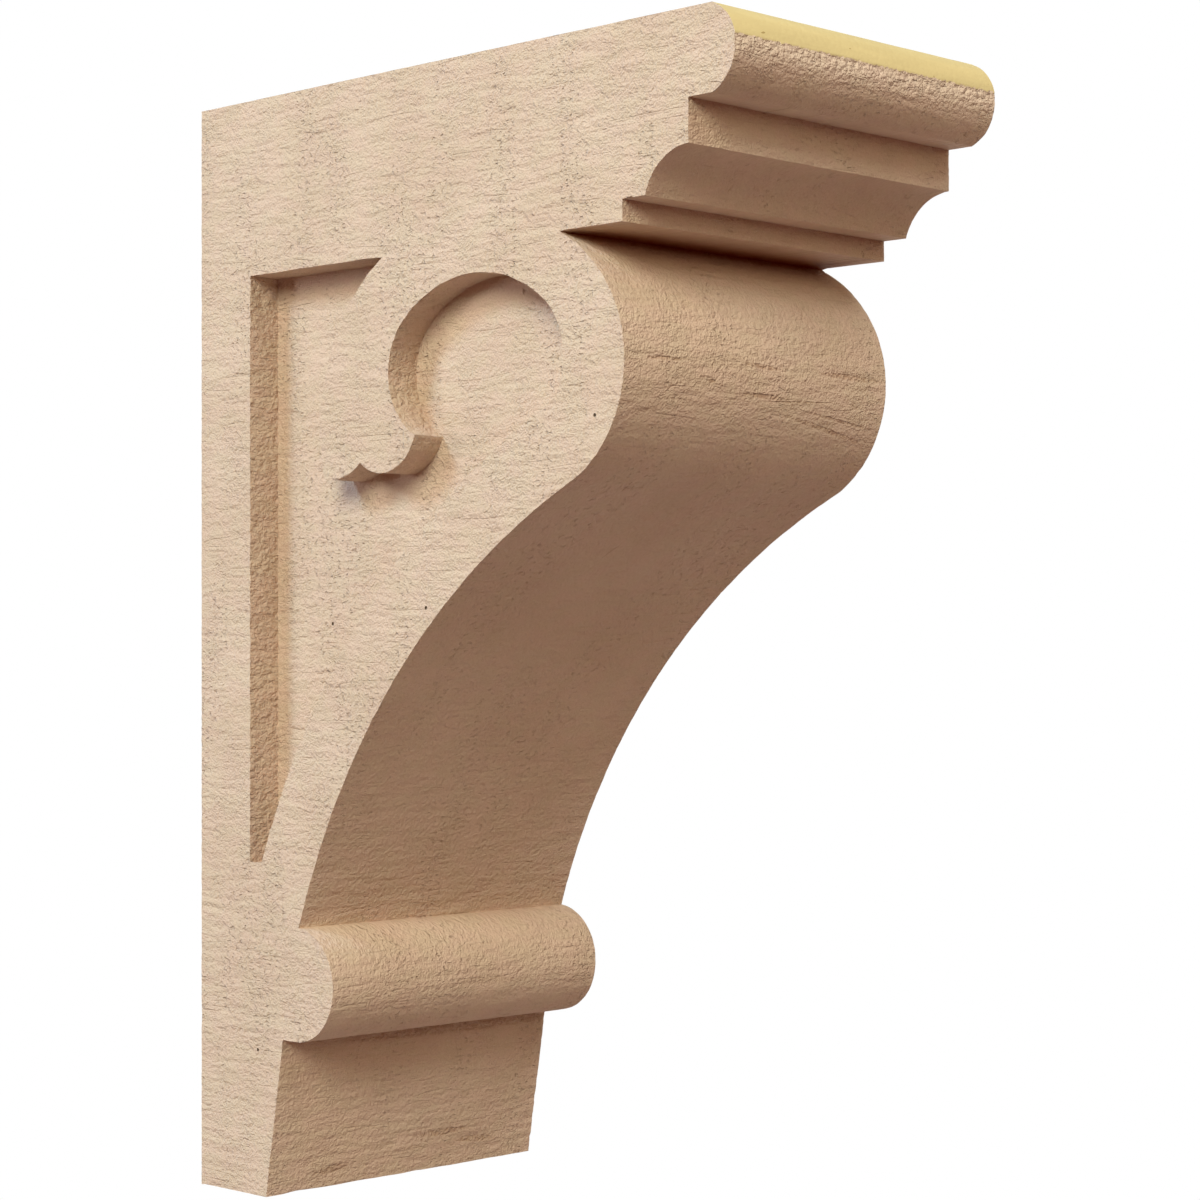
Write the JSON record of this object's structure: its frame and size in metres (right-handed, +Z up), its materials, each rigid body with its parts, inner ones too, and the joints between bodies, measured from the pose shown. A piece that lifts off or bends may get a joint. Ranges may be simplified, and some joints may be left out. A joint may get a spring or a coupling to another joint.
{
  "type": "carved corbel",
  "caption": "Rough-sawn faux-wood bracket corbel: moulded cap, scrolled front sweeping down to a bead and plain foot, and a sunk curl carved in each side.",
  "frame": {"origin": "centre of the flat back face that goes against the wall", "axes": "+Z up, +Y out of the back face into the wall, so the scrolled front faces -Y, and X runs across the width"},
  "size_m": [0.1016, 0.2032, 0.3048],
  "materials": {
    "primed_urethane": "tan primer on rough-sawn texture, with bare yellow urethane on the top"
  },
  "bodies": {
    "root": {"corbel": "primed_urethane"}
  },
  "joints": []
}
